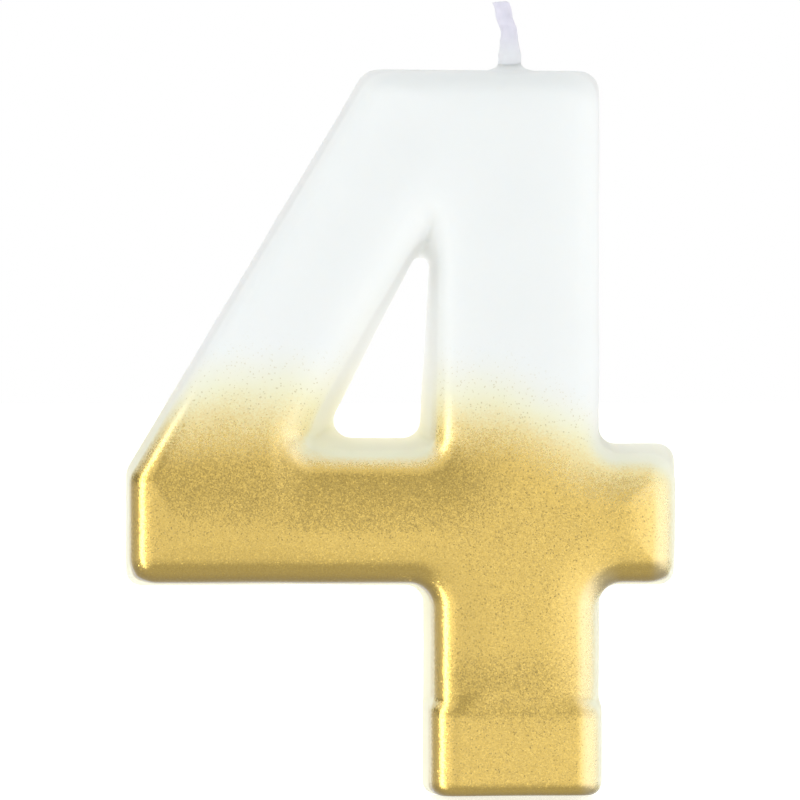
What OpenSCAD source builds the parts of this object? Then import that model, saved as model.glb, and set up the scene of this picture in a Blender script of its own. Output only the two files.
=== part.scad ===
// Number birthday candle, the numeral 4. A poured wax core lies in a white dip coat, the front of
// the lower half is sprayed gold, and a plaited wick runs up the stem and out of the top edge.
// X is the width, Z the height and -Y the front. The origin is the middle of the foot's lower end.

/* [Numeral] */
// Height of the wax, from the foot's lower end to the top edge
wax_h = 75.1; // [74:0.1:80]
// Thickness of the wax, from the back face to the front of the foot
wax_t = 12; // [11:0.5:14]
// Width of the upright stem at the back
stem_w = 18.4; // [17.6:0.2:19.6]
// Width of the top edge at the back
top_w = 24.4; // [23:0.2:26]
// Reach of the crossbar to the left of the stem's middle
bar_left = 39.9; // [38:0.5:42]
// Reach of the crossbar to the right of the stem's middle
bar_right = 17; // [16:0.5:20]
// Height of the crossbar's underside
bar_z = 21.7; // [20:0.1:24]
// Height of the crossbar's right arm
bar_h = 14.8; // [14:0.1:16]
// Height of the upright edge at the crossbar's left end
tip_h = 12; // [10:0.5:13]

/* [Edges] */
// Draft of the side walls, as the step inwards from back to front
draft = 1.1; // [0.6:0.1:1.4]
// Radius of the rounded front edge
front_r = 2.2; // [1.6:0.1:2.6]
// Radius of the small edge round the back face
back_r = 0.8; // [0.7:0.1:1]
// Radius of the outline's square outer corners
corner_r = 1.6; // [1.2:0.1:2]
// Radius of the outline's slanted outer corners and of its upper right one
top_r = 2.3; // [1.2:0.1:2.6]
// Radius of the outline's inner corners
notch_r = 1.2; // [0.8:0.1:1.6]

/* [Window] */
// Distance of the window's right side from the stem's middle, at the front
window_x = 7.7; // [7.4:0.1:8.4]
// Height of the window's lower side at the front
window_z = 35.6; // [35:0.1:36]
// Height of the sharp apex that the window's sides run up to, at the front
window_top = 61.6; // [60:0.1:63]
// Step inwards of the lower side from front to back
window_rise = 1.5; // [1:0.1:2]
// Radius of the window's lower corners
window_r = 1.7; // [1.2:0.1:2]
// Radius of the window's apex
apex_r = 0.85; // [0.6:0.05:1]

/* [Foot] */
// Height of the push-in foot
foot_h = 10.9; // [8:0.1:12]
// How far the foot stands proud of the stem's front and sides
foot_step = 0.4; // [0.2:0.1:0.6]
// Height of the slope between stem and foot
foot_slope = 1.1; // [0.8:0.1:1.6]
// Radius of the foot's lower edge
foot_r = 1.4; // [1:0.1:1.8]

/* [Coats] */
// Thickness of the white dip coat
dip_t = 0.6; // [0.5:0.05:0.65]
// Thickness of the sprayed gold film
film_t = 0.1; // [0.08:0.01:0.2]
// Height at which the gold film fades out
film_top = 38; // [34:0.5:42]

/* [Wick] */
// Diameter of the waxed wick
wick_d = 1.8; // [1.6:0.1:2]
// Length of wick above the top edge
wick_stub = 6.5; // [6:0.1:10]
// Height at which the wick starts, inside the foot
wick_start = 3; // [2:0.5:6]
// Sideways lean of the wick's tip
wick_lean = 0.9; // [0:0.1:1.5]
// Diameter of one cotton yarn
yarn_d = 0.48; // [0.4:0.02:0.5]
// Length of wick in which a yarn crosses over and back
plait_pitch = 7; // [6:0.5:10]

/* [Hidden] */

corner_steps = 5;          // facets round each corner of an outline
edge_steps = 5;            // facets round the front edge
past = 1;                  // how far a cutter runs past the face that it cuts

stem_r = stem_w / 2;
top_left = top_w - stem_r;
tip_z = bar_z + tip_h;
slant = (bar_left - top_left) / (wax_h - tip_z);   // sideways run of the left side per mm of height
front_y = -wax_t / 2 + foot_step;                  // front face of the numeral
back_y = wax_t / 2;
film_back_y = front_y + front_r + 0.3;             // the spray reaches just round the front edge

// The numeral's back outline, anticlockwise from the stem's lower right corner, which lies inside
// the foot. The foot has a shape of its own.
outline = [
    [stem_r, foot_h / 2],
    [stem_r, bar_z],
    [bar_right, bar_z],
    [bar_right, bar_z + bar_h],
    [stem_r, bar_z + bar_h],
    [stem_r, wax_h],
    [-top_left, wax_h],
    [-bar_left, tip_z],
    [-bar_left, bar_z],
    [-stem_r, bar_z],
    [-stem_r, foot_h / 2]
];
// Which of its corners are inner ones, and which are the ones of radius top_r
inner_corners = [1, 4, 9];
top_corners = [5, 6, 7];

// The window's outline at the front and at the back, anticlockwise from its lower right corner
window_front = [
    [-window_x, window_z],
    [-window_x, window_top],
    [-window_x - (window_top - window_z) * slant, window_z]
];
window_back = [
    window_front[0] + [-2, window_rise],
    window_front[1] + [-0.65, -2.8],
    window_front[2] + [3.9, window_rise]
];
window_radii = [window_r, apex_r, window_r];

wick_r = wick_d / 2;
wick_top = wax_h + wick_stub;
bend_z = wax_h + 2.9;      // the wick leans from here upwards
coat_t = 0.15;             // thickness of the wax round the plait
plait_x = 0.45;            // half width of the plait's path
plait_y = 0.35;            // half depth of the plait's path
yarns = 3;

// ---- geometry helpers ----

function unit(v) = v / norm(v);

function ahead(list, i) = list[(i + 1) % len(list)];

function behind(list, i) = list[(i + len(list) - 1) % len(list)];

function left_of(v) = [-v[1], v[0]];

// An anticlockwise outline with every side moved inwards by d
function inset(outline, d) = [
    for (i = [0:len(outline) - 1])
        let (
            n1 = left_of(unit(outline[i] - behind(outline, i))),
            n2 = left_of(unit(ahead(outline, i) - outline[i]))
        )
        outline[i] + (n1 + n2) * d / (1 + n1 * n2)
];

// The corner at b of the path a, b, c as an arc of radius r
function arc(a, b, c, r) =
    let (
        u = unit(a - b),
        v = unit(c - b),
        half = acos(u * v) / 2,
        centre = b + unit(u + v) * r / sin(half),
        start = b + u * r / tan(half) - centre,
        end = b + v * r / tan(half) - centre,
        sweep = 180 - 2 * half
    )
    [
        for (i = [0:corner_steps])
            let (turn = sweep * i / corner_steps)
            centre + (start * sin(sweep - turn) + end * sin(turn)) / sin(sweep)
    ];

// An outline with each corner rounded to its own radius
function rounded(outline, radii) = [
    for (i = [0:len(outline) - 1])
        each arc(behind(outline, i), outline[i], ahead(outline, i), radii[i])
];

// Stands a flat outline up in the plane at depth y
function at_depth(outline, y) = [for (p = outline) [p[0], y, p[1]]];

// Lays a flat outline down, at height z where the foot's underside starts at the back, and rising
// towards the front
function sloping(outline, z, rise) = [
    for (p = outline) [p[0], p[1], z + rise * (back_y - foot_r - p[1]) / wax_t]
];

function mix(a, b, share) = a * (1 - share) + b * share;

// A closed solid through rings of equally many points. From the first ring towards the last, each
// ring is seen to run clockwise.
module loft(rings) {
    n = len(rings[0]);
    last = len(rings) - 1;
    polyhedron(
        points = [for (ring = rings) each ring],
        faces = concat(
            [[for (i = [0:n - 1]) i]],
            [[for (i = [n - 1:-1:0]) last * n + i]],
            [
                for (k = [0:last - 1], i = [0:n - 1])
                    let (a = k * n + i, b = k * n + (i + 1) % n)
                    each [[b + n, b, a], [a + n, b + n, a]]
            ]
        )
    );
}

// The same, for rings with no inner corners: each band between two rings is hulled, so its facets
// stay convex where the corners of the two rings differ
module convex_stack(rings) {
    for (k = [0:len(rings) - 2])
        hull() loft([rings[k], rings[k + 1]]);
}

// ---- the numeral's outer form, grown outwards by g or shrunk by -g ----

// Step inwards and depth of the side wall, from the back face to the front face
function wall(g) = concat(
    [
        for (turn = [90:-30:0])
            [back_r - (back_r + g) * cos(turn), back_y - back_r + (back_r + g) * sin(turn)]
    ],
    [
        for (i = [0:edge_steps])
            let (turn = 90 * i / edge_steps)
            [
                draft + front_r - (front_r + g) * cos(turn),
                front_y + front_r - (front_r + g) * sin(turn)
            ]
    ]
);

// Corner radii of the outline once its sides have moved inwards by step
function corner_radii(step, g) = [
    for (i = [0:len(outline) - 1])
        search(i, inner_corners) != [] ? notch_r + max(step, -notch_r / 2)
        : search(i, top_corners) != [] ? top_r + g
        : corner_r + g
];

module numeral_form(g) {
    loft([
        for (w = wall(g))
            at_depth(rounded(inset(outline, w[0]), corner_radii(w[0], g)), w[1])
    ]);
}

// The foot's outline seen from above, anticlockwise from its back right corner
foot_outline = [
    [stem_r + 0.05, back_y],
    [-stem_r - 0.05, back_y],
    [-stem_r + draft - foot_step, -wax_t / 2],
    [stem_r - draft + foot_step, -wax_t / 2]
];

// Step inwards, height at the back and rise to the front of the foot's rings. The underside has the
// same draft as the side walls, its edge is rounded, and the upper edge slopes in to the stem.
function foot_edge(g) = concat(
    [
        for (turn = [90:-22.5:0])
            [foot_r - (foot_r + g) * cos(turn), foot_r - (foot_r + g) * sin(turn), draft]
    ],
    [[-g, foot_h - foot_slope, 0], [foot_step - g, foot_h, 0]]
);

module foot_form(g) {
    radii = [back_r + g, back_r + g, front_r + g, front_r + g];
    hull()
        loft([
            for (e = foot_edge(g)) sloping(rounded(inset(foot_outline, e[0]), radii), e[1], e[2])
        ]);
}

// Depth of the window's outlines in a form grown by g, and how much wider than its straight sides
// the window is there
function window_edge(g) = concat(
    [
        [back_y + g + past, 0.5 - g],
        [back_y + g, 0.5 - g],
        [back_y + g - 0.15, 0.15 - g],
        [back_y + g - 0.5, -g]
    ],
    [
        for (i = [0:edge_steps])
            let (turn = 90 * i / edge_steps)
            [
                front_y + front_r - (front_r + g) * sin(turn),
                front_r - (front_r + g) * cos(turn)
            ]
    ],
    [[front_y - g - past, front_r]]
);

// The window's sharp-cornered outline at depth y
function window_sides(y) =
    mix(window_back, window_front, min(1, max(0, (back_y - y) / (back_y - front_y))));

// What is cut out for the window, in a form grown by g
module window_cut(g) {
    convex_stack([
        for (e = window_edge(g))
            at_depth(
                rounded(inset(window_sides(e[0]), -e[1]), window_radii + max(0, e[1]) * [1, 1, 1]),
                e[0]
            )
    ]);
}

module candle_form(g) {
    difference() {
        union() {
            numeral_form(g);
            foot_form(g);
        }
        window_cut(g);
    }
}

// ---- the wick ----

// Sideways place of the wick's middle at height z
function wick_x(z) = -0.5 - wick_lean * pow(max(0, z - bend_z) / (wick_top - bend_z), 1.4);

// A rod round the wick's middle line, through [height, radius] pairs
module wick_rod(stations) {
    sides = 16;
    loft([
        for (s = stations)
            [
                for (i = [0:sides - 1])
                    [wick_x(s[0]) + s[1] * cos(360 * i / sides), s[1] * sin(360 * i / sides), s[0]]
            ]
    ]);
}

// Stations of a plain rod of radius r from the wick's start to height top
function plain_rod(r, start, top) = concat(
    [[start, r]],
    [for (z = [bend_z:0.8:top - 0.4]) [z, r]],
    [[top, r]]
);

// Place of one yarn's middle at height z: the plait's figure of eight
function yarn_at(z, yarn) =
    let (turn = 360 * (z / plait_pitch + yarn / yarns))
    [wick_x(z) + plait_x * sin(turn), plait_y * sin(2 * turn), z];

module yarn_rod(yarn) {
    sides = 6;
    rings = 100;
    start = wick_start + coat_t;
    loft([
        for (k = [0:rings])
            let (middle = yarn_at(start + (wick_top - start) * k / rings, yarn))
            [
                for (i = [0:sides - 1])
                    middle + yarn_d / 2 * [cos(360 * i / sides), sin(360 * i / sides), 0]
            ]
    ]);
}

// ---- sub-parts ----

module wax_core() {
    color("ivory")
        difference() {
            candle_form(-dip_t);
            wick_rod([[wick_start, wick_r], [wax_h + past, wick_r]]);
        }
}

// Heights and radii of the collar of wax that the dip leaves round the wick. The top face slopes
// down to the front by the draft, so the collar starts below its lowest point.
collar = [
    [wax_h - draft - dip_t / 2, 3.6],
    [wax_h - draft / 2, 3.2],
    [wax_h, 2.6],
    [wax_h + 0.25, 2],
    [wax_h + 0.6, 1.4],
    [wax_h + 1.5, 1.25],
    [wax_h + 2.6, 1.12],
    [bend_z, wick_r + 0.1]
];

module white_overdip() {
    color("white")
        difference() {
            union() {
                difference() {
                    candle_form(0);
                    candle_form(-dip_t);
                }
                wick_rod(collar);
            }
            wick_rod([[wick_start, wick_r], [bend_z, wick_r], [bend_z + past, wick_r]]);
        }
}

module gold_film() {
    color("goldenrod")
        intersection() {
            difference() {
                candle_form(film_t);
                candle_form(0);
            }
            translate([-bar_left - past, -wax_t, 0])
                cube([bar_left + bar_right + 2 * past, wax_t + film_back_y, film_top]);
        }
}

module wick_strand(yarn) {
    color("whitesmoke") yarn_rod(yarn);
}

module wick_wax_coat() {
    color("lavender")
        difference() {
            wick_rod(plain_rod(wick_r, wick_start, wick_top));
            wick_rod(plain_rod(wick_r - coat_t, wick_start + coat_t, wick_top + past));
        }
}

wax_core();
white_overdip();
gold_film();
for (yarn = [1:yarns])
    wick_strand(yarn);
wick_wax_coat();
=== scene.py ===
"""The looks of the number candle: a dipped wax numeral 4 with sprayed gold, and its plaited wick.

Both meshes come from distance fields in millimetres, and are turned into metres. X is the width, Z the
height and -Y the front, as in the CAD.
"""
import math

import bpy
import numpy as np
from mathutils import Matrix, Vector


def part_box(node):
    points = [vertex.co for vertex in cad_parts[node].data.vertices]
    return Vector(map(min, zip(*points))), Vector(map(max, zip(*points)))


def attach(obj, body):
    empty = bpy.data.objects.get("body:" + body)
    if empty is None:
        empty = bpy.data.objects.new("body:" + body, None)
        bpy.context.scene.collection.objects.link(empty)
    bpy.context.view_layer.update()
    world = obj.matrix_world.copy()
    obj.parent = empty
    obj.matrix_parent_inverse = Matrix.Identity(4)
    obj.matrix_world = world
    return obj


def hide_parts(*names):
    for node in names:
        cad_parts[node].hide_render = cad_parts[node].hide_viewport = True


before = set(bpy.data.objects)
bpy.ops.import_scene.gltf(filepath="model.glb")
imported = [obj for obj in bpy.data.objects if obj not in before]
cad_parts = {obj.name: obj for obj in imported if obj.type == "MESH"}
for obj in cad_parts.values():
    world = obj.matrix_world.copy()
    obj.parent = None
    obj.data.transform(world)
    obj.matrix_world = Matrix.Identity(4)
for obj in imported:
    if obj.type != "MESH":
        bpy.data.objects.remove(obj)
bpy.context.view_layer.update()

MM = 0.001

# ---- driving dimensions, mm ----

LOW, HIGH = [np.array(corner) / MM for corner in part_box("white_overdip")]
BACK_Y = HIGH[1]
FOOT_Y = LOW[1]            # front of the foot
FOOT_STEP = 0.4            # how far the foot stands proud of the stem
FRONT_Y = FOOT_Y + FOOT_STEP     # front of the numeral above it
BAR_LEFT = -LOW[0]         # reach of the crossbar to the left
BAR_RIGHT = HIGH[0]        # and to the right
BAR_Z = 21.7               # underside of the crossbar
BAR_H = 14.8               # height of the right arm
TIP_Z = 33.7               # top of the upright edge at the left tip
STEM_R = 9.2               # half width of the stem
TOP_LEFT = 15.2            # reach of the top edge to the left
WAX_H = 75.1               # height of the wax, without the wick
DRAFT = 1.1                # step inwards of the side walls, from back to front
FRONT_R = 2.2              # rounding of the front edge
BACK_R = 0.8               # rounding of the back edge
CROWN = 0.6                # how far the front face falls away towards its outer edges
CROWN_REACH = 5.5          # how far in from them it starts to fall
DISH = 0.8                 # how far it falls away towards the window
DISH_REACH = 9.0           # how far out from the window it starts to fall
SHOULDER = 0.35            # how far it leans back over the left half of the crossbar
SHOULDER_Z = 28.0          # from this height upwards
SHOULDER_H = 9.0           # and in full this much higher
ARM_FALL = 0.15            # how much more it falls at the end of the right arm
ARM_REACH = 5.0            # how far in from that end it starts
FRONT_CORNERS = 0.9        # how much rounder the outline's corners are at the front
WAVINESS = 0.03            # of the moulded faces

WINDOW_X = 7.7             # the window's right side, at the front
WINDOW_Z = 35.6            # its lower side
WINDOW_TOP = 61.6          # the sharp apex that its sides run up to
WINDOW_R = 1.7             # rounding of its lower corners
APEX_R = 0.85              # rounding of its apex

FOOT_H = 10.9
FOOT_SPREAD = 0.05         # how much wider than the stem the foot's back is, on each side
FOOT_SLOPE = 1.1           # height of the slope at the foot's upper edge
FOOT_SIDE_R = 2.6          # rounding of the foot's upright edges
FOOT_R = 1.4               # rounding of its lower edge
FLARE_Z = 7.5              # from here up, the foot's face curves back to the stem's
FLARE_H = 9.0              # over this height
FOOT_CROWN_Z = FOOT_H - 2  # from here up, it falls away like the stem's face
FOOT_CROWN_H = 3.0         # in full this much higher
FOOT_END_R = 1.0           # rounding of its hidden upper end, inside the stem

MENISCUS_H = 1.6           # height of the wax drawn up round the wick
MENISCUS_R = 0.9           # its half width at the top
MENISCUS_FLARES = [(0.4, 1.2), (1.3, 0.25)]     # how much wider it gets downwards, over which height
MENISCUS_FILL = 0.3        # rounding of the crease round it

WICK_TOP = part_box("wick_wax_coat")[1].z / MM - 0.05
WICK_X = -0.5              # sideways place of the wick
WICK_LEAN = 0.95           # sideways lean of its tip
BEND_Z = WAX_H + 2.9       # it leans from here upwards
WICK_FOOT = WAX_H - 1.5    # its lower end, hidden in the numeral
WICK_END_R = 0.12          # rounding of its cut end
WICK_WAVINESS = 0.02
YARNS = 3
YARN_R = 0.42
PLAIT_PITCH = 7.0
PLAIT_X = 0.45             # half width of the plait's path
PLAIT_Y = 0.35             # half depth of the plait's path
PLAIT_FILL = 0.3           # rounding of the creases in the plait
COAT_R = 0.76              # half width of the wax round the plait
COAT_SWELL = 0.42          # how much wider it is at the numeral
COAT_TOP = WAX_H + 3.5     # it widens from here downwards
COAT_H = 2.5               # over this height

NUMERAL_CELL = 0.34        # size of the numeral mesh's facets
WICK_CELL = 0.06           # size of the wick mesh's facets
EVENING_ROUNDS = 3         # how often the facets are made more even

FADE_Z = 37.9              # height at which half of the wax is covered with gold
FLAKES_PER_MM = 8.0
SPRAY_FROM = (-0.3, -1.0, -0.6)     # the side that the gold was sprayed from

# ---- colours ----

WAX_WHITE = (0.91, 0.92, 0.915, 1)
WAX_HAZED = (0.97, 0.87, 0.5, 1)    # under the finest spray
STRAY_FLAKE = (0.5, 0.4, 0.17, 1)
GOLD_DEEP = (0.74, 0.51, 0.11, 1)
GOLD_LIGHT = (0.86, 0.61, 0.15, 1)
GOLD_THIN_AND_HIGHLIT = (0.95, 0.82, 0.5, 1)    # on what faces right: thinner spray away from its side, and partly a painted highlight of the bright glow on the right

WICK_WHITE = (0.89, 0.885, 0.92, 1)
WICK_LILAC = (0.74, 0.71, 0.82, 1)
WICK_PALE = (0.83, 0.8, 0.9, 1)
COTTON_DARK = (0.7, 0.68, 0.72, 1)
COTTON_LIGHT = (0.88, 0.87, 0.9, 1)
CORE_DARK = (0.8, 0.76, 0.66, 1)
CORE_LIGHT = (0.88, 0.85, 0.78, 1)

# ---- light and camera ----

BRIGHTEST = 8.0            # highest level that the light's ramps hold; the backdrop is 1
SIDES_BASE = 0.3           # level of the sides' ramp that adds nothing

# Levels that the gold mirrors, by degrees round the candle: 0 is in front of it, 90 at its right.
SIDE_LEVELS = [
    (-180, 0.3), (-120, 0.15), (-87, 0.15), (-80, 3.4), (-69, 3.4), (-59, 0.8), (-40, 0.6), (-15, 0.36),
    (0, 0.3), (4, 0.4), (9, 0.52), (16, 0.68), (28, 0.8), (90, 0.75), (130, 0.2), (180, 0.3),
]
# And by degrees above the horizon.
HEIGHT_LEVELS = [
    (-90, 0.5), (-50, 0.5), (-30, 0.64), (-17, 0.74), (-10, 0.9), (-4, 0.93), (0, 0.86),
    (3, 0.68), (6, 0.48), (14, 0.4), (24, 0.7), (45, 0.85), (90, 0.85),
]
# Levels of the soft light on the wax, from -1 in front of the candle to 1 behind it.
SOFT_LEVELS = [(-1, 0.8), (-0.5, 0.79), (0, 0.62), (0.4, 1.15), (0.75, 2.2), (1, 2.6)]
SOFT_FRONT = (0.945, 1.005, 1.015, 1)
SOFT_BEHIND = (1, 0.99, 0.97, 1)

CAMERA_AIM = (-11.5, BACK_Y, 40.9)       # the middle of the candle's back, mm
CAMERA_OFFSET = (-12.0, -380.0, 4.7)     # from there to the camera
CAMERA_LENS = 165
SENSOR_WIDTH = 36
CLIP_START = 0.01          # m
FLOOR_REACH = 3.0          # m

SLANT = (BAR_LEFT - TOP_LEFT) / (WAX_H - TIP_Z)

# ---- outlines' corners ----

# Each is (x, z, radius), anticlockwise. The numeral's outline starts inside the foot.
NUMERAL_BACK = [
    (STEM_R, FOOT_H / 2, 1),
    (STEM_R, BAR_Z, 1.8),
    (BAR_RIGHT, BAR_Z, 1.6),
    (BAR_RIGHT, BAR_Z + BAR_H, 1.8),
    (STEM_R, BAR_Z + BAR_H, 1.6),
    (STEM_R, WAX_H, 2.2),
    (-TOP_LEFT, WAX_H, 2.4),
    (-BAR_LEFT, TIP_Z, 2.4),
    (-BAR_LEFT, BAR_Z, 1.6),
    (-STEM_R, BAR_Z, 1.8),
    (-STEM_R, FOOT_H / 2, 1),
]
WINDOW_FRONT = [
    (-WINDOW_X, WINDOW_Z, WINDOW_R),
    (-WINDOW_X, WINDOW_TOP, APEX_R),
    (-WINDOW_X - (WINDOW_TOP - WINDOW_Z) * SLANT, WINDOW_Z, WINDOW_R),
]
WINDOW_STEPS = [(-2.0, 1.5), (-0.65, -2.8), (3.9, 1.5)]     # its corners' moves from front to back
WINDOW_BACK = [(x + dx, z + dz, radius) for (x, z, radius), (dx, dz) in zip(WINDOW_FRONT, WINDOW_STEPS)]


# ---- outlines ----

def unit(v):
    """The vector with a length of 1."""
    return v / np.linalg.norm(v)


def drafted(corners, step, rounder):
    """The outline with its sides moved inwards by step and its corners made rounder."""
    moved = []
    for i, (x, z, radius) in enumerate(corners):
        here = np.array([x, z])
        into = unit(here - np.array(corners[i - 1][:2]))
        out = unit(np.array(corners[(i + 1) % len(corners)][:2]) - here)
        normals = np.array([-into[1] - out[1], into[0] + out[0]])
        place = here + normals * step / (1 + into @ out)
        moved.append((place[0], place[1], radius + rounder))
    return moved


def rounded_outline(corners, steps=12):
    """The outline's points, with each corner as an arc."""
    points = []
    for i, (x, z, radius) in enumerate(corners):
        here = np.array([x, z])
        before = unit(np.array(corners[i - 1][:2]) - here)
        after = unit(np.array(corners[(i + 1) % len(corners)][:2]) - here)
        half = math.acos(before @ after) / 2
        centre = here + unit(before + after) * radius / math.sin(half)
        start = here + before * radius / math.tan(half) - centre
        end = here + after * radius / math.tan(half) - centre
        sweep = math.pi - 2 * half
        for turn in np.linspace(0, sweep, steps + 1):
            spoke = (start * math.sin(sweep - turn) + end * math.sin(turn)) / math.sin(sweep)
            points.append(centre + spoke)
    return np.array(points)


# ---- distance fields, negative inside ----

def outline_distance(outline, x, z):
    """Distance from a closed outline."""
    x, z = np.broadcast_arrays(x, z)
    nearest = np.full(x.shape, np.inf)
    within = np.zeros(x.shape, bool)
    for (ax, az), (bx, bz) in zip(outline, np.roll(outline, -1, axis=0)):
        dx, dz = bx - ax, bz - az
        share = np.clip(((x - ax) * dx + (z - az) * dz) / (dx * dx + dz * dz), 0, 1)
        nearest = np.minimum(nearest, (x - ax - share * dx) ** 2 + (z - az - share * dz) ** 2)
        if az != bz:
            within ^= ((z < az) != (z < bz)) & (x < ax + (z - az) * dx / dz)
    return np.where(within, -1, 1) * np.sqrt(nearest)


def round_and(a, b, radius):
    """Inside both fields, with the edge between them rounded."""
    corner = np.hypot(np.maximum(a + radius, 0), np.maximum(b + radius, 0))
    return np.minimum(-radius, np.maximum(a, b)) + corner


def round_or(a, b, radius):
    """Inside either field, with the crease between them filled."""
    return -round_and(-a, -b, radius)


def eased(share):
    """A smooth step from 0 to 1."""
    share = np.clip(share, 0, 1)
    return share * share * (3 - 2 * share)


def unevenness(seed, count, shortest, longest):
    """A smooth field about 1 high, made of plane waves of those lengths."""
    draw = np.random.default_rng(seed)
    directions = draw.normal(size=(count, 3))
    directions /= np.linalg.norm(directions, axis=1)[:, None]
    waves = directions * 2 * math.pi / draw.uniform(shortest, longest, count)[:, None]
    phases = draw.uniform(0, 2 * math.pi, count)

    def field(x, y, z):
        return sum(np.sin(a * x + b * y + c * z + p) for (a, b, c), p in zip(waves, phases)) / count ** 0.5
    return field


def foot_field(x, y, z, depth, crown):
    """The foot. Towards its upper end its face turns into the stem's, which falls away by crown."""
    inset = np.maximum(z - FOOT_H + FOOT_SLOPE, 0) * FOOT_STEP / FOOT_SLOPE
    side = abs(x) - (STEM_R + FOOT_SPREAD - (DRAFT - FOOT_STEP) * depth) + inset
    flare = FOOT_STEP * eased((z - FLARE_Z) / FLARE_H)
    fall = crown * eased((z - FOOT_CROWN_Z) / FOOT_CROWN_H)
    upright = round_and(side, FOOT_Y - y + flare + fall, FOOT_SIDE_R)
    standing = round_and(upright, DRAFT * depth - z, FOOT_R)
    return round_and(standing, z - FOOT_H - 2, FOOT_END_R)


def meniscus_field(x, y, z, depth):
    """The wax drawn up round the wick from the sloping top."""
    height = z - WAX_H + DRAFT * depth
    drawn_up = np.clip(height, -0.15, 2)
    radius = MENISCUS_R
    for wider, over in MENISCUS_FLARES:
        radius = radius + wider * np.exp(-drawn_up / over)
    return np.maximum(np.hypot(x - WICK_X, y) - radius, abs(height) - MENISCUS_H)


def face_fall(x, z, crown, hole_front):
    """How far the front face lies behind its flat middle."""
    dish = DISH * np.clip(1 - hole_front / DISH_REACH, 0, 1) ** 2
    shoulder = SHOULDER * eased((z - SHOULDER_Z) / SHOULDER_H) * eased(-(x + STEM_R / 2) / STEM_R)
    arm = ARM_FALL * np.clip(1 - (BAR_RIGHT - DRAFT - x) / ARM_REACH, 0, 1) ** 2
    return np.maximum(np.maximum(crown, dish), shoulder) + arm


def numeral_field():
    """The numeral with its foot, window and meniscus."""
    outlines = [rounded_outline(corners) for corners in (
        NUMERAL_BACK, drafted(NUMERAL_BACK, DRAFT, FRONT_CORNERS), WINDOW_BACK, WINDOW_FRONT)]
    wavy = unevenness(seed=4, count=9, shortest=7, longest=18)

    def field(x, y, z):
        back, front, hole_back, hole_front = [outline_distance(outline, x, z) for outline in outlines]
        depth = np.clip((BACK_Y - y) / (BACK_Y - FRONT_Y), 0, 1)
        crown = CROWN * np.clip(1 + front / CROWN_REACH, 0, 1) ** 2
        flare = FOOT_STEP * (1 - eased((z - FLARE_Z) / FLARE_H))
        face = FRONT_Y - y + face_fall(x, z, crown, hole_front) - flare
        body = round_and(back + (front - back) * depth, face, FRONT_R)
        body = np.minimum(body, foot_field(x, y, z, depth, crown))
        body = round_and(body, -hole_back - (hole_front - hole_back) * depth, FRONT_R)
        body = round_and(body, y - BACK_Y, BACK_R)
        body = round_or(body, meniscus_field(x, y, z, depth), MENISCUS_FILL)
        return body + WAVINESS * wavy(x, y, z)
    return field


def wick_field():
    """The plaited wick in its wax, leaning to the left above the numeral."""
    wavy = unevenness(seed=7, count=8, shortest=0.8, longest=2.4)

    def field(x, y, z):
        rise = np.maximum(z - BEND_Z, 0) / (WICK_TOP - BEND_Z)
        x = x - WICK_X + WICK_LEAN * rise ** 1.2
        turn = 2 * math.pi * z / PLAIT_PITCH
        yarns = None
        for yarn in range(1, YARNS + 1):
            at = turn + 2 * math.pi * yarn / YARNS
            one = np.hypot(x - PLAIT_X * np.sin(at), y - PLAIT_Y * np.sin(2 * at)) - YARN_R
            yarns = one if yarns is None else round_or(yarns, one, PLAIT_FILL)
        coat = np.hypot(x, y) - COAT_R - COAT_SWELL * np.clip((COAT_TOP - z) / COAT_H, 0, 1) ** 1.2
        body = round_or(yarns, coat, PLAIT_FILL)
        body = round_and(body, z - WICK_TOP, WICK_END_R)
        return np.maximum(body, WICK_FOOT - z) + WICK_WAVINESS * wavy(x, y, z)
    return field


# ---- meshes from fields ----

def surface_net(field, low, high, cell):
    """Vertices and quads of the surface where the field is zero, inside the box from low to high."""
    axes = [np.arange(a, b + cell, cell) for a, b in zip(low, high)]
    inside = field(axes[0][:, None, None], axes[1][None, :, None], axes[2][None, None, :]) < 0
    nx, ny, nz = np.array(inside.shape) - 1
    corners = sum(inside[i:i + nx, j:j + ny, k:k + nz].astype(np.int8)
                  for i in (0, 1) for j in (0, 1) for k in (0, 1))
    active = (corners > 0) & (corners < 8)
    index = np.full(active.shape, -1)
    index[active] = np.arange(active.sum())
    points = (np.argwhere(active) + 0.5) * cell + np.array([a[0] for a in axes])
    quads = []
    for axis in range(3):
        u, v = (axis + 1) % 3, (axis + 2) % 3
        lower = np.take(inside, range(inside.shape[axis] - 1), axis)
        upper = np.take(inside, range(1, inside.shape[axis]), axis)
        for leaving, order in ((lower & ~upper, 1), (upper & ~lower, -1)):
            edges = np.argwhere(leaving)
            ring = []
            for du, dv in ((1, 1), (0, 1), (0, 0), (1, 0)):
                cells = edges.copy()
                cells[:, u] -= du
                cells[:, v] -= dv
                ring.append(index[tuple(cells.T)])
            quads.append(np.stack(ring[::order], axis=1))
    return points, np.concatenate(quads)


def on_surface(field, points, cell):
    """The points moved along the field's slope on to its surface."""
    step = cell * 0.01
    x, y, z = points.T
    here = field(x, y, z)
    slope = np.stack([field(x + step, y, z), field(x, y + step, z), field(x, y, z + step)], axis=1)
    slope = (slope - here[:, None]) / step
    steepness = np.maximum((slope ** 2).sum(1), 0.25)     # the least keeps the moves short in creases
    move = here[:, None] * slope / steepness[:, None]
    return points - np.clip(move, -cell, cell)


def evened(points, quads):
    """The points, each moved half way to the middle of its neighbours."""
    ends = np.concatenate([quads[:, [0, 1]], quads[:, [1, 2]], quads[:, [2, 3]], quads[:, [3, 0]]])
    share = np.bincount(ends[:, 0], minlength=len(points))
    middle = [np.bincount(ends[:, 0], points[ends[:, 1], c], len(points)) / share for c in range(3)]
    return points * 0.5 + np.stack(middle, axis=1) * 0.5


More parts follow.
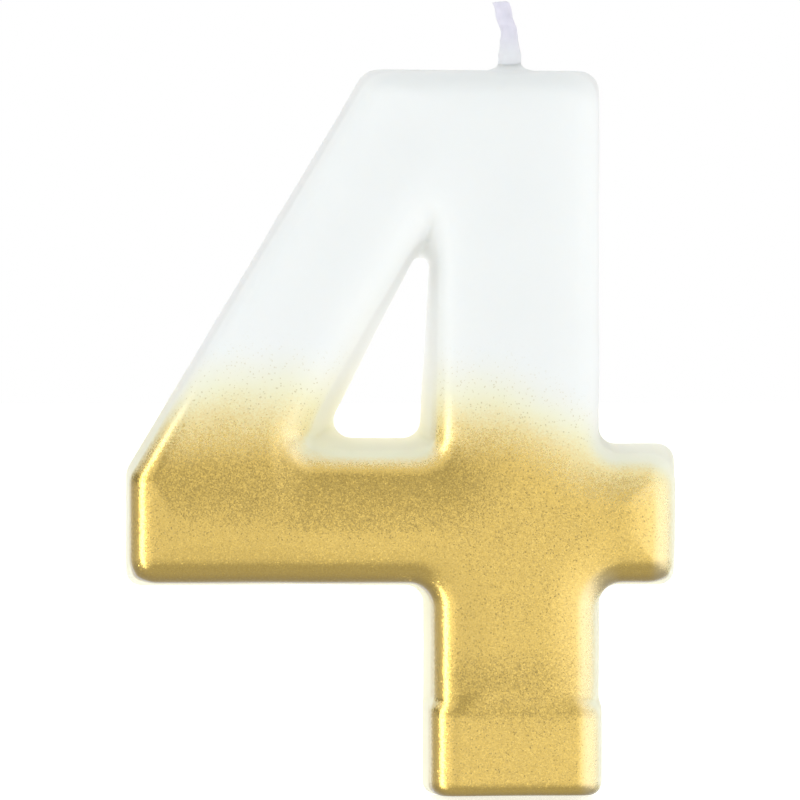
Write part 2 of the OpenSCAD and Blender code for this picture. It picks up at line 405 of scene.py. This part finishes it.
def field_piece(name, field, low, high, cell):
    """A smooth-shaded object of the surface where the field is zero."""
    points, quads = surface_net(field, low, high, cell)
    for _ in range(EVENING_ROUNDS):
        points = on_surface(field, evened(points, quads), cell)
    points = on_surface(field, points, cell)
    mesh = bpy.data.meshes.new(name)
    mesh.from_pydata((points * MM).tolist(), [], quads.tolist())
    mesh.polygons.foreach_set("use_smooth", [True] * len(quads))
    piece = bpy.data.objects.new(name, mesh)
    bpy.context.scene.collection.objects.link(piece)
    return piece


# ---- node helpers ----

def put(tree, socket, value):
    """Links or sets one input socket."""
    if isinstance(value, bpy.types.NodeSocket):
        tree.links.new(value, socket)
    else:
        socket.default_value = value


def node(tree, kind, inputs, **settings):
    """A new node with its settings and its input sockets filled in."""
    made = tree.nodes.new("ShaderNode" + kind)
    for key, value in settings.items():
        setattr(made, key, value)
    for key, value in inputs.items():
        put(tree, made.inputs[key], value)
    return made


def maths(tree, operation, *values):
    """The result of one sum on numbers."""
    return node(tree, "Math", dict(enumerate(values)), operation=operation).outputs[0]


def vector(tree, operation, a, b):
    """The result of one sum on vectors."""
    key = "Scale" if operation == "SCALE" else 1
    return node(tree, "VectorMath", {0: a, key: b}, operation=operation).outputs[0]


def ramp(tree, value, start, end, low=0.0, high=1.0):
    """A smooth step from low at start to high at end."""
    inputs = {"Value": value, "From Min": start, "From Max": end, "To Min": low, "To Max": high}
    return node(tree, "MapRange", inputs, interpolation_type="SMOOTHSTEP").outputs[0]


def mixed(tree, share, a, b):
    """Colour a, turning into colour b with the share."""
    return node(tree, "Mix", {"Factor": share, "A": a, "B": b}, data_type="RGBA").outputs[2]


def noise(tree, place, scale, detail=2.0):
    """Soft noise from 0 to 1, with scale waves a mm."""
    return node(tree, "TexNoise", {"Vector": place, "Scale": scale, "Detail": detail}).outputs[0]


def material(name):
    """A new node material: (material, tree, shader, place in mm)."""
    made = bpy.data.materials.new(name)
    made.use_nodes = True
    tree = made.node_tree
    shader = tree.nodes["Principled BSDF"]
    place = vector(tree, "SCALE", tree.nodes.new("ShaderNodeTexCoord").outputs["Object"], 1 / MM)
    return made, tree, shader, place


def wear(piece, made):
    """Gives the piece that one material."""
    piece.data.materials.clear()
    piece.data.materials.append(made)


# ---- materials ----

def parts_of(tree, place):
    """The vector's x, y and z."""
    parts = node(tree, "SeparateXYZ", {0: place}).outputs
    return parts[0], parts[1], parts[2]


def spray_reach(tree, place, normal):
    """Height above the fade's middle, which drops towards the right, and how well the spray got there."""
    x, y, z = parts_of(tree, place)
    drop = maths(tree, "MULTIPLY_ADD", noise(tree, place, 0.12), 3.0, ramp(tree, x, -3.0, 10.0, -1.5, 3.5))
    above = maths(tree, "SUBTRACT", maths(tree, "ADD", z, drop), FADE_Z)
    towards = node(tree, "VectorMath", {0: normal, 1: SPRAY_FROM}, operation="DOT_PRODUCT").outputs["Value"]
    near = ramp(tree, maths(tree, "MULTIPLY_ADD", noise(tree, place, 0.5), 0.8, y), 0.9, -2.1)
    return above, maths(tree, "MULTIPLY", near, ramp(tree, towards, 0.1, 0.85))


def hazed_wax(tree, above, facing, draw):
    """The wax's colour, yellowed by fine spray and with stray flakes above the gold."""
    half_facing = maths(tree, "MULTIPLY_ADD", facing, 0.5, 0.5)
    haze = maths(tree, "MULTIPLY", ramp(tree, above, 9.0, -1.0), half_facing)
    strays = maths(tree, "MULTIPLY", ramp(tree, draw, 0.95, 0.97), ramp(tree, above, 11.0, 0.0, 0.0, 0.6))
    wax = mixed(tree, haze, WAX_WHITE, WAX_HAZED)
    return mixed(tree, maths(tree, "MULTIPLY", strays, facing), wax, STRAY_FLAKE)


def flake_gold(tree, normal, draw):
    """The flakes' colour, paler on what faces right: partly thinner spray there, partly a painted highlight
    of the bright glow on the right.
    """
    gold = mixed(tree, draw, GOLD_DEEP, GOLD_LIGHT)
    # painted highlight, partly thinner spray: the gold turns paler as its normal turns right, towards the
    # bright glow on that side
    thin_and_highlit = ramp(tree, parts_of(tree, normal)[0], 0.0, 0.5, 0.0, 0.6)
    return mixed(tree, thin_and_highlit, gold, GOLD_THIN_AND_HIGHLIT)


def flake_normal(tree, normal, flake, draw, metal):
    """The normal, leant over a little by each flake and more by a few of them."""
    lean = vector(tree, "SUBTRACT", flake, (0.5, 0.5, 0.5))
    glint = ramp(tree, draw, 0.9, 0.98, 0.13, 0.3)
    lean = vector(tree, "SCALE", lean, maths(tree, "MULTIPLY", metal, glint))
    return vector(tree, "NORMALIZE", vector(tree, "ADD", normal, lean), (0, 0, 0))


def sprayed_wax():
    """White dip wax, sprayed from the front with gold flakes in clear lacquer. The spray thins out
    upwards and round the edges."""
    made, tree, shader, place = material("sprayed_wax")
    normal = node(tree, "NewGeometry", {}).outputs["Normal"]
    above, facing = spray_reach(tree, place, normal)
    flake = node(tree, "TexVoronoi", {"Vector": place, "Scale": FLAKES_PER_MM}).outputs["Color"]
    draw = node(tree, "SeparateColor", {0: flake}).outputs

    cover = maths(tree, "MULTIPLY", ramp(tree, above, 4.5, -4.0), facing)
    loose = maths(tree, "MULTIPLY", cover, maths(tree, "SUBTRACT", 1.0, cover))
    metal = maths(tree, "MULTIPLY_ADD", maths(tree, "MULTIPLY_ADD", draw[0], 2.0, -1.0), loose, cover)
    metal = node(tree, "Clamp", {0: metal}).outputs[0]

    wax = hazed_wax(tree, above, facing, draw[1])
    gold = flake_gold(tree, normal, draw[1])
    put(tree, shader.inputs["Base Color"], mixed(tree, metal, wax, gold))
    put(tree, shader.inputs["Metallic"], metal)
    put(tree, shader.inputs["Coat Weight"], metal)
    put(tree, shader.inputs["Roughness"], maths(tree, "MULTIPLY_ADD", metal, -0.2, 0.4))
    put(tree, shader.inputs["Normal"], flake_normal(tree, normal, flake, draw[2], metal))

    shader.inputs["Coat Roughness"].default_value = 0.14
    shader.inputs["IOR"].default_value = 1.44
    shader.inputs["Subsurface Weight"].default_value = 0.8
    shader.inputs["Subsurface Radius"].default_value = (1.0, 0.95, 0.9)
    shader.inputs["Subsurface Scale"].default_value = 3 * MM
    return made


def waxed_cotton():
    """The wick: plaited cotton under thin wax, white where the dip reaches it and lilac above."""
    made, tree, shader, place = material("waxed_cotton")
    z = parts_of(tree, place)[2]
    dry = ramp(tree, z, WAX_H + 0.6, WAX_H + 4.0)
    patches = mixed(tree, noise(tree, place, 1.6), WICK_LILAC, WICK_PALE)
    put(tree, shader.inputs["Base Color"], mixed(tree, dry, WICK_WHITE, patches))
    fibres = noise(tree, vector(tree, "MULTIPLY", place, (9.0, 9.0, 1.4)), 1.0, 3.0)
    bump = node(tree, "Bump", {"Height": fibres, "Distance": 0.06 * MM, "Strength": 0.6})
    put(tree, shader.inputs["Normal"], bump.outputs[0])
    shader.inputs["Roughness"].default_value = 0.5
    shader.inputs["Subsurface Weight"].default_value = 0.3
    shader.inputs["Subsurface Radius"].default_value = (1.0, 0.9, 0.9)
    shader.inputs["Subsurface Scale"].default_value = 0.5 * MM
    return made


def poured_wax():
    """The milky wax of the core."""
    made, tree, shader, place = material("poured_wax")
    clouds = noise(tree, place, 0.25, 4.0)
    put(tree, shader.inputs["Base Color"], mixed(tree, clouds, CORE_DARK, CORE_LIGHT))
    shader.inputs["Roughness"].default_value = 0.5
    return made


def cotton_yarn():
    """Bleached cotton, with its fibres twisted along the yarn."""
    made, tree, shader, place = material("cotton_yarn")
    fibres = noise(tree, vector(tree, "MULTIPLY", place, (14.0, 14.0, 3.0)), 1.0, 3.0)
    put(tree, shader.inputs["Base Color"], mixed(tree, fibres, COTTON_DARK, COTTON_LIGHT))
    bump = node(tree, "Bump", {"Height": fibres, "Distance": 0.05 * MM, "Strength": 0.8})
    put(tree, shader.inputs["Normal"], bump.outputs[0])
    shader.inputs["Roughness"].default_value = 0.85
    return made


# ---- pieces ----

def dipped_numeral():
    """The numeral: the dip coat and the sprayed gold in one surface."""
    margin = 1.0
    low = LOW - margin
    high = np.array([BAR_RIGHT, BACK_Y, WAX_H + 1]) + margin
    piece = field_piece("dipped_numeral", numeral_field(), low, high, NUMERAL_CELL)
    wear(piece, sprayed_wax())
    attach(piece, "root")
    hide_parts("white_overdip", "gold_film")


def waxed_wick():
    """The wick's stub above the numeral."""
    low, high = (-3, -2, WAX_H - 2), (2, 2, WICK_TOP + 0.5)
    piece = field_piece("waxed_wick", wick_field(), low, high, WICK_CELL)
    wear(piece, waxed_cotton())
    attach(piece, "root")
    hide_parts("wick_wax_coat")


def inner_pieces():
    """Materials for the CAD pieces that stay as they are."""
    wear(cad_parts["wax_core"], poured_wax())
    yarn = cotton_yarn()
    for number in range(1, YARNS + 1):
        wear(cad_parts[f"wick_strand_{number}"], yarn)


# ---- studio ----

def floor():
    """A pale floor, left out of the candle's reflections."""
    mesh = bpy.data.meshes.new("floor")
    reach = FLOOR_REACH
    corners = [(-reach, -reach, 0), (reach, -reach, 0), (reach, reach, 0), (-reach, reach, 0)]
    mesh.from_pydata(corners, [], [(0, 1, 2, 3)])
    piece = bpy.data.objects.new("floor", mesh)
    bpy.context.scene.collection.objects.link(piece)
    made = bpy.data.materials.new("pale_floor")
    made.use_nodes = True
    shader = made.node_tree.nodes["Principled BSDF"]
    shader.inputs["Base Color"].default_value = (0.9, 0.9, 0.9, 1)
    shader.inputs["Roughness"].default_value = 0.9
    shader.inputs["Specular IOR Level"].default_value = 0.0
    shader.inputs["Emission Color"].default_value = (1, 1, 1, 1)
    shader.inputs["Emission Strength"].default_value = 0.35
    wear(piece, made)
    piece.visible_glossy = False


def brightness(tree, value, levels):
    """Eased light level, from pairs of value (0 to 1) and level (0 to BRIGHTEST)."""
    made = node(tree, "ValToRGB", {"Fac": value})
    made.color_ramp.interpolation = "EASE"
    stops = made.color_ramp.elements
    while len(stops) < len(levels):
        stops.new(0.5)
    for stop, (place, level) in zip(stops, levels):
        stop.position = place
        stop.color = (level / BRIGHTEST, level / BRIGHTEST, level / BRIGHTEST, 1)
    return maths(tree, "MULTIPLY", made.outputs[0], BRIGHTEST)


def mirrored_light(tree, x, y, z):
    """What the gold mirrors: a tall strip on the left, a wide glow on the right, and a broad light that
    is brightest just below eye height and dimmest just above it."""
    turn = maths(tree, "ARCTAN2", x, maths(tree, "MULTIPLY", y, -1.0))
    sides = brightness(tree, maths(tree, "MULTIPLY_ADD", turn, 0.5 / math.pi, 0.5),
                       [(angle / 360 + 0.5, level) for angle, level in SIDE_LEVELS])
    sides = maths(tree, "SUBTRACT", sides, SIDES_BASE)
    sides = maths(tree, "MULTIPLY", sides, ramp(tree, maths(tree, "ABSOLUTE", z), 0.85, 0.35))
    broad = brightness(tree, maths(tree, "MULTIPLY_ADD", maths(tree, "ARCSINE", z), 1 / math.pi, 0.5),
                       [(angle / 180 + 0.5, level) for angle, level in HEIGHT_LEVELS])
    broad = maths(tree, "MULTIPLY", broad, ramp(tree, y, 0.6, -0.2, 0.75, 1.0))
    return node(tree, "Background", {"Color": maths(tree, "ADD", sides, broad)}).outputs[0]


def soft_light(tree, y):
    """The light on the wax, which is stronger and warmer from behind."""
    level = brightness(tree, maths(tree, "MULTIPLY_ADD", y, 0.5, 0.5),
                       [(at / 2 + 0.5, level) for at, level in SOFT_LEVELS])
    tint = mixed(tree, ramp(tree, y, -0.4, 0.4), SOFT_FRONT, SOFT_BEHIND)
    return node(tree, "Background", {"Color": tint, "Strength": level}).outputs[0]


def studio_light():
    """Light from all round, with a white backdrop."""
    world = bpy.data.worlds.new("studio")
    bpy.context.scene.world = world
    world.use_nodes = True
    world.cycles.sampling_method = "NONE"
    tree = world.node_tree
    tree.nodes.clear()
    x, y, z = parts_of(tree, tree.nodes.new("ShaderNodeTexCoord").outputs["Generated"])
    white = node(tree, "Background", {"Color": (1, 1, 1, 1), "Strength": 1.0}).outputs[0]
    ray = tree.nodes.new("ShaderNodeLightPath").outputs
    lights = {0: ray["Is Glossy Ray"], 1: soft_light(tree, y), 2: mirrored_light(tree, x, y, z)}
    lit = node(tree, "MixShader", lights).outputs[0]
    seen = node(tree, "MixShader", {0: ray["Is Camera Ray"], 1: lit, 2: white}).outputs[0]
    node(tree, "OutputWorld", {"Surface": seen})


def camera():
    """Straight on, a little from the left and from above."""
    target = Vector(CAMERA_AIM) * MM
    place = target + Vector(CAMERA_OFFSET) * MM
    data = bpy.data.cameras.new("camera")
    data.lens = CAMERA_LENS
    data.sensor_width = SENSOR_WIDTH
    data.clip_start = CLIP_START
    made = bpy.data.objects.new("camera", data)
    made.location = place
    made.rotation_euler = (target - place).to_track_quat("-Z", "Y").to_euler()
    bpy.context.scene.collection.objects.link(made)
    bpy.context.scene.camera = made


dipped_numeral()
waxed_wick()
inner_pieces()
floor()
studio_light()
camera()
bpy.context.scene.view_settings.view_transform = "Standard"
